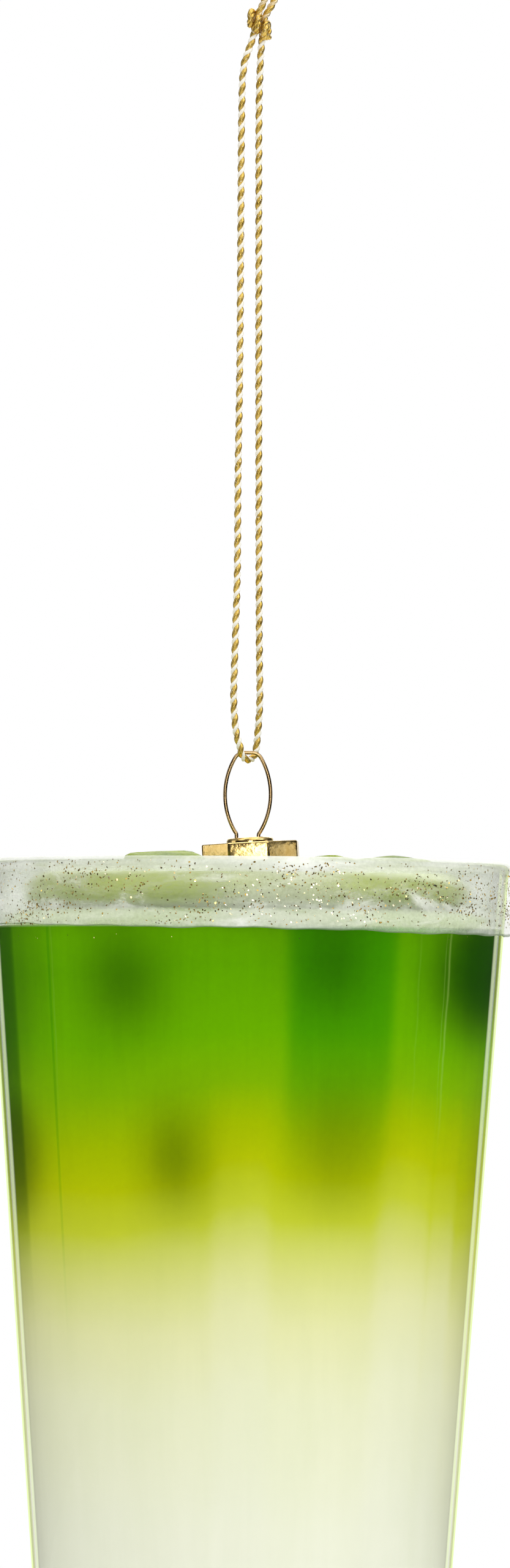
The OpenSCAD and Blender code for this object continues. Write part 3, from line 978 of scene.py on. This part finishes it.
def make_ice(k):
    angle, shift, tilt_x, tilt_y, turn, rise = ICE[k]
    a, x, y = math.radians(angle), math.radians(tilt_x), math.radians(tilt_y)
    half = ICE_S / 2 * (abs(math.sin(y)) + abs(math.cos(y) * math.sin(x)) + abs(math.cos(y) * math.cos(x)))
    r = ICE_RING + shift
    bpy.ops.object.select_all(action="DESELECT")
    bpy.ops.mesh.primitive_cube_add(size=ICE_S * MM)
    piece = bpy.context.object
    piece.name = f"ice_lump_{k + 1}"
    bpy.ops.object.mode_set(mode="EDIT")
    bpy.ops.mesh.select_mode(type="VERT")
    bpy.ops.mesh.select_all(action="SELECT")
    bpy.ops.mesh.subdivide(number_cuts=9)
    bpy.ops.mesh.vertices_smooth(factor=0.5, repeat=4)
    bpy.ops.transform.vertex_random(offset=ICE_ROUGH * MM, uniform=0.4, normal=0.6, seed=11 + k)
    bpy.ops.mesh.vertices_smooth(factor=0.5, repeat=2)
    bpy.ops.object.mode_set(mode="OBJECT")
    grow = ICE_S * MM / max(piece.dimensions)
    bpy.ops.object.mode_set(mode="EDIT")
    bpy.ops.mesh.select_all(action="SELECT")
    bpy.ops.transform.resize(value=(grow, grow, grow), center_override=(0, 0, 0))
    bpy.ops.object.mode_set(mode="OBJECT")
    piece.rotation_euler = (x, y, math.radians(turn))
    piece.location = Vector((r * math.cos(a), r * math.sin(a), FOOT_Z + TOP_Z + rise - half)) * MM
    settle(piece)
    bpy.ops.object.mode_set(mode="EDIT")
    bpy.ops.mesh.select_all(action="SELECT")
    bpy.ops.mesh.bisect(
        plane_co=above_foot(0, LAYER_TOP - ICE_SINK), plane_no=(0, 0, 1), use_fill=True, clear_inner=True,
    )
    bpy.ops.mesh.select_all(action="SELECT")
    bpy.ops.mesh.normals_make_consistent(inside=False)
    bpy.ops.object.mode_set(mode="OBJECT")
    smooth(piece, 60)
    return piece


def green_ice():
    made, tree, shader = new_material("green_ice", Transmission_Weight=0.1, IOR=1.31, Metallic=0.0)
    shader.inputs["Specular IOR Level"].default_value = 0.1
    spot = object_place(tree)
    cloud = place_group(tree, STREAKS, {"Place": spot, "Scale": 160.0, "Flat": 1.0})
    base = ramp(tree, cloud["Streaks"], [
        (0.3, (0.11, 0.19, 0.002)), (0.5, (0.24, 0.33, 0.004)), (0.75, (0.38, 0.45, 0.03)),
    ])
    tree.links.new(base, shader.inputs["Base Color"])
    tree.links.new(spread(tree, cloud["Grain"], 0.3, 0.7, 0.35, 0.55), shader.inputs["Roughness"])
    tree.links.new(bump(tree, cloud["Streaks"], 0.2, 0.0006), shader.inputs["Normal"])
    return made


GREEN_ICE = green_ice()
for number in range(len(ICE)):
    lump = make_ice(number)
    dress(lump, GREEN_ICE, "ornament", "ice", f"ice_cube_{number + 1}")


# Sugar rim
SUGAR_OUT = 30.5
SUGAR_LOW = 83.9
SUGAR_HIGH = 92.0
SUGAR_LAP = 90.3
SUGAR_FIT = 0.05
SUGAR_THICK = 0.45
LOW_ROUND = 0.35
TOP_ROUND = 1.05
LAP_ROUND = 0.6
# How far up the lower edge waves, and its waves: height, count round the rim, start
WAVE_REACH = 1.6
WAVES = [(0.06, 5, 0.6), (0.06, 13, 2.1), (0.05, 31, 0.0), (-0.47, 1, 0.0)]
# Patches of thicker sugar: turn in degrees, half width in degrees
THICK_PATCHES = [(7, 15), (128, 18), (-115, 20)]
PATCH_Z = 87.5
PATCH_HALF = 6
# Heights of the thicker sugar at its lower edge, of its crease and of its top, and how ragged the lower ones are. The
# whiter sugar at the crease is painted light over the shade there.
LOW_VEIL = (85.2, 87.2)
CREASE_Z = 86.3
HIGH_VEIL = (90.2, 91.1)
RAGGED = 1.3


def make_sugar():
    lip = GLASS_WALL / 2
    lip_c = (wall_r(TUMBLER_H - lip) - lip, TUMBLER_H - lip)
    inside = LIP_R - GLASS_WALL - SUGAR_THICK
    outer = [(SUGAR_OUT, SUGAR_LOW + 0.4 + 0.4 * i) for i in range(16)]
    piece = turned("sugar_rim", (
        [(wall_r(SUGAR_LOW) + SUGAR_FIT, SUGAR_LOW)]
        + arc((SUGAR_OUT - LOW_ROUND, SUGAR_LOW + LOW_ROUND), LOW_ROUND, -90, 0, 4)
        + outer[1:]
        + arc((SUGAR_OUT - TOP_ROUND, SUGAR_HIGH - TOP_ROUND), TOP_ROUND, 0, 90, 8)
        + arc((inside + LAP_ROUND, SUGAR_HIGH - LAP_ROUND), LAP_ROUND, 90, 180, 5)
        + [(inside, SUGAR_LAP), (wall_r(SUGAR_LAP) - GLASS_WALL - SUGAR_FIT, SUGAR_LAP)]
        + arc(lip_c, lip + SUGAR_FIT, 180, 0, 10)
        + [(wall_r(SUGAR_LOW) + SUGAR_FIT, SUGAR_LOW)]
    ), 240)
    low_z = level(SUGAR_LOW)
    rise = [v.co.z - low_z for v in piece.data.vertices]
    piece.data.attributes.new("over_edge", "FLOAT", "POINT").data.foreach_set("value", rise)
    for v in piece.data.vertices:
        a = math.atan2(v.co.x, -v.co.y)
        near = max(0.0, 1 - (v.co.z - low_z) / (WAVE_REACH * MM))
        wave = sum(tall * math.sin(count * a + start) for tall, count, start in WAVES)
        v.co.z += near * wave * MM
    return piece


def sugar_frost():
    made, tree, shader = new_material("sugar_frost")
    shader.inputs["Specular IOR Level"].default_value = 0.35
    spot = object_place(tree)
    parts = place_parts(tree, spot)
    brushed = place_group(tree, STREAKS, {"Place": spot, "Scale": 110.0, "Flat": 3.2})
    base = ramp(tree, brushed["Streaks"], [(0.3, (0.72, 0.76, 0.62)), (0.65, (0.9, 0.92, 0.84))])
    over_edge = add_node(tree, "ShaderNodeAttribute", attribute_name="over_edge").outputs["Fac"]
    # A thin dark green line along the lower edge is painted shadow under the sugar.
    edge = spread(tree, over_edge, 0.06 * MM, 0.2 * MM, 0.8, 0.0)
    tree.links.new(mix_colour(tree, edge, base, (0.06, 0.13, 0.015)), shader.inputs["Base Color"])
    tree.links.new(spread(tree, brushed["Grain"], 0.3, 0.7, 0.35, 0.65), shader.inputs["Roughness"])
    turn = turn_round(tree, parts)
    veil = spread(tree, brushed["Streaks"], 0.48, 0.76, 0.12, 0.55)
    for degrees, half in THICK_PATCHES:
        patch = wall_spot(tree, turn, parts["Z"], degrees, FOOT_Z + PATCH_Z, half, PATCH_HALF, 0.28, 1.6)
        veil = math_node(tree, "ADD", veil, patch)
    shift = spread(tree, brushed["Streaks"], 0.3, 0.7, RAGGED * MM, -RAGGED * MM)
    ragged = math_node(tree, "ADD", parts["Z"], shift)
    low = spread(tree, ragged, level(LOW_VEIL[0]), level(LOW_VEIL[1]), 0.2, 0.0)
    high = spread(tree, parts["Z"], level(HIGH_VEIL[0]), level(HIGH_VEIL[1]), 0.0, 0.5)
    # Whiter sugar at the shaded crease between the matcha layer and the drink: painted light.
    crease = wall_ring(tree, ragged, FOOT_Z + CREASE_Z, 0.8, 0.22, 1.0)
    low = math_node(tree, "ADD", low, crease)
    grit = spread(tree, brushed["Grain"], 0.35, 0.7, -0.04, 0.06)
    total = math_node(tree, "ADD", math_node(tree, "ADD", veil, low), math_node(tree, "ADD", high, grit))
    total = math_node(tree, "MAXIMUM", math_node(tree, "MAXIMUM", total, 0.05), edge)
    total = math_node(tree, "MINIMUM", total, 0.97)
    facing = add_node(tree, "ShaderNodeNewGeometry").outputs["Backfacing"]
    shown = math_node(tree, "MULTIPLY", total, math_node(tree, "SUBTRACT", 1.0, facing))
    tree.links.new(shown, shader.inputs["Alpha"])
    tree.links.new(bump(tree, brushed["Grain"], 0.3, 0.00012), shader.inputs["Normal"])
    return made


sugar = make_sugar()
dress(sugar, sugar_frost(), "ornament", "sugar", "rim_sugar")


# Gold glitter in the sugar: how many flakes of each kind, and their least and greatest size
CLUMP_COUNT = 110
CLUMP_SHARE = 0.6
GLITTER_COUNT = 3400
GLITTER_SIZE = (0.075, 0.15)
SPARKLE_COUNT = 150
SPARKLE_SIZE = (0.07, 0.12)
STRAY_COUNT = 18
STRAY_SIZE = (0.05, 0.09)


def glitter_spots():
    """Flakes as turn, height, size, two leans and tone: clumped ones, sparkles to the front, strays under the edge."""
    draw = random.Random(20)
    clumps = [(draw.uniform(-math.pi, math.pi), draw.uniform(84.6, 91.2)) for _ in range(CLUMP_COUNT)]
    spots = []
    while len(spots) < GLITTER_COUNT:
        if draw.random() < CLUMP_SHARE:
            a, z = draw.choice(clumps)
            a += draw.gauss(0, 0.05)
            z += draw.gauss(0, 0.7)
        else:
            a, z = draw.uniform(-math.pi, math.pi), draw.uniform(84.3, 91.4)
        if 84.2 < z < 91.6:
            size = draw.uniform(*GLITTER_SIZE)
            spots.append((a, z, size, draw.gauss(0, 0.32), draw.gauss(0, 0.32), draw.random()))
    # Sparkles: flakes gathered at the front, leaning towards it and paler than the rest; their pale tone there is a
    # painted glint.
    for _ in range(SPARKLE_COUNT):
        a, z = draw.gauss(0.2, 0.17), draw.uniform(84.6, 90.8)
        lean_x, lean_y = draw.gauss(-0.05, 0.1), draw.gauss(-a, 0.1)
        spots.append((a, z, draw.uniform(*SPARKLE_SIZE), lean_x, lean_y, draw.uniform(0.85, 1.0)))
    for _ in range(STRAY_COUNT):
        a, z = draw.uniform(-math.pi, math.pi), draw.uniform(82.7, 83.3)
        size = draw.uniform(*STRAY_SIZE)
        spots.append((a, z, size, draw.gauss(-0.05, 0.3), draw.gauss(-a, 0.3), 0.85))
    return spots


def make_glitter():
    bpy.ops.object.select_all(action="DESELECT")
    bpy.ops.mesh.primitive_cylinder_add(vertices=6, radius=1, depth=0.3, end_fill_type="NGON")
    flake = bpy.context.object
    bpy.ops.object.mode_set(mode="EDIT")
    bpy.ops.mesh.select_all(action="SELECT")
    bpy.ops.transform.resize(value=(1.0, 0.8, 1.0))
    bpy.ops.object.mode_set(mode="OBJECT")
    settle(flake)
    pieces = []
    for a, z, size, lean_x, lean_y, tone in glitter_spots():
        over = max(0.0, z - (SUGAR_HIGH - TOP_ROUND))
        r = SUGAR_OUT - TOP_ROUND + math.sqrt(max(0.0, TOP_ROUND ** 2 - over ** 2))
        if z < SUGAR_LOW - 0.5:
            r = wall_r(z) + 0.01
        out = math.asin(min(1.0, over / TOP_ROUND))
        outward = Vector((math.sin(a) * math.cos(out), -math.cos(a) * math.cos(out), math.sin(out)))
        turn = outward.to_track_quat("Z", "Y").to_matrix().to_4x4()
        tip = Matrix.Rotation(lean_x, 4, "X") @ Matrix.Rotation(lean_y, 4, "Y")
        tip = tip @ Matrix.Rotation(6 * tone, 4, "Z")
        copy = flake.copy()
        copy.data = flake.data.copy()
        bpy.context.collection.objects.link(copy)
        spot = Vector((r * math.sin(a), -r * math.cos(a), FOOT_Z + z)) * MM
        slim = Matrix.Diagonal((1.0, 0.45 + 0.55 * abs(math.sin(40 * tone)), 0.6, 1.0))
        copy.data.transform(Matrix.Translation(spot) @ turn @ tip @ Matrix.Scale(size * MM, 4) @ slim)
        shade = copy.data.attributes.new("flake_tone", "FLOAT", "POINT")
        shade.data.foreach_set("value", [tone] * len(copy.data.vertices))
        pieces.append(copy)
    bpy.data.objects.remove(flake)
    return join(pieces, "rim_glitter")


def glitter_gold():
    made, tree, shader = new_material("glitter_gold", Metallic=1.0)
    tone = add_node(tree, "ShaderNodeAttribute", attribute_name="flake_tone").outputs["Fac"]
    base = ramp(tree, tone, [
        (0.0, (0.24, 0.16, 0.035)), (0.6, (0.42, 0.29, 0.07)),
        (0.8, (0.78, 0.58, 0.19)), (1.0, (1.0, 0.93, 0.7)),
    ])
    tree.links.new(base, shader.inputs["Base Color"])
    tree.links.new(spread(tree, tone, 0.0, 1.0, 0.35, 0.15), shader.inputs["Roughness"])
    return made


glitter = make_glitter()
dress(glitter, glitter_gold(), "ornament", "sugar")


# Studio: pale floor below the hanging ornament, soft lamps above and two dim panels level with it, in metres
FLOOR_Z = -0.25
FLOOR_R = 0.75
ROOM_LEVEL = 0.48
CENTRE = (0, 0, -0.13)
# Lamps: name, place, aim, width, height, watts
LAMPS = [
    ("front_lamp", (0.05, -1.14, 0.03), (0, 0, -0.06), 0.3, 0.4, 2.3),
    ("key_lamp", (0.31, -0.64, 0.64), CENTRE, 0.65, 0.8, 2.0),
    ("right_lamp", (0.75, -0.35, 0.55), CENTRE, 0.5, 0.5, 2.2),
    ("left_lamp", (-0.6, -0.4, 0.6), CENTRE, 0.5, 0.5, 1.1),
    ("top_lamp", (0.0, 0.1, 0.75), CENTRE, 0.7, 0.7, 2.5),
    ("back_lamp", (0.1, 0.8, 0.35), CENTRE, 0.6, 0.4, 2.0),
    ("left_panel", (-0.85, 0.0, 0.06), (0, 0, -0.09), 0.4, 0.4, 0.6),
    ("right_panel", (0.85, 0.0, -0.03), (0, 0, -0.09), 0.3, 0.2, 0.16),
]


def make_floor():
    bpy.ops.object.select_all(action="DESELECT")
    bpy.ops.mesh.primitive_circle_add(
        vertices=96, radius=FLOOR_R, fill_type="NGON", location=(0, 0, FLOOR_Z),
    )
    floor = bpy.context.object
    floor.name = "studio_floor"
    made, tree, shader = new_material("pale_floor", Roughness=0.8)
    spot = object_place(tree)
    tone = ramp(tree, noise(tree, spot, 8.0), [(0.3, (0.93, 0.93, 0.92)), (0.7, (0.96, 0.96, 0.955))])
    tree.links.new(tone, shader.inputs["Base Color"])
    away = add_node(tree, "ShaderNodeVectorMath", {0: spot}, operation="LENGTH").outputs["Value"]
    tree.links.new(spread(tree, away, 0.3, 0.72, 1.0, 0.0), shader.inputs["Alpha"])
    floor.data.materials.append(made)


def make_lamp(name, spot, aim, width, height, watts):
    spot, aim = Vector(spot), Vector(aim)
    bpy.ops.object.light_add(type="AREA", location=spot)
    lamp = bpy.context.object
    lamp.name = name
    lamp.rotation_euler = (aim - spot).to_track_quat("-Z", "Y").to_euler()
    lamp.data.shape = "RECTANGLE"
    lamp.data.size = width
    lamp.data.size_y = height
    lamp.data.energy = watts


# What gloss shows of the backdrop: a white sheet straight behind, an olive gap round it, then white screens
BACKDROP = [
    (0.838, (0.03, 0.03, 0.03)), (0.862, (1, 1, 1)), (0.908, (1, 1, 1)),
    (0.924, (0.5, 0.55, 0.16)), (0.95, (0.5, 0.55, 0.16)), (0.97, (1, 1, 1)),
]


def make_world():
    world = bpy.data.worlds.new("studio")
    bpy.context.scene.world = world
    world.use_nodes = True
    tree = world.node_tree
    back = tree.nodes["Background"]
    way = add_node(tree, "ShaderNodeTexCoord").outputs["Generated"]
    parts = place_parts(tree, way)
    behind = ramp(tree, parts["Y"], BACKDROP)
    above = spread(tree, parts["Z"], 0.3, 0.9, 0.0, 0.5)
    below = spread(tree, parts["Z"], -0.3, -0.9, 0.0, 0.4)
    room = mix_colour(tree, math_node(tree, "MAXIMUM", above, below), behind, (1.0, 1.0, 1.0))
    ray = add_node(tree, "ShaderNodeLightPath").outputs
    even = mix_colour(tree, ray["Is Glossy Ray"], (ROOM_LEVEL, ROOM_LEVEL, ROOM_LEVEL), room)
    seen = math_node(tree, "MAXIMUM", ray["Is Camera Ray"], ray["Is Transmission Ray"])
    tree.links.new(mix_colour(tree, seen, even, (1.0, 1.0, 1.0)), back.inputs["Color"])
    back.inputs["Strength"].default_value = 1.0


make_floor()
make_world()
for lamp_row in LAMPS:
    make_lamp(*lamp_row)

bpy.context.scene.view_settings.view_transform = "Standard"
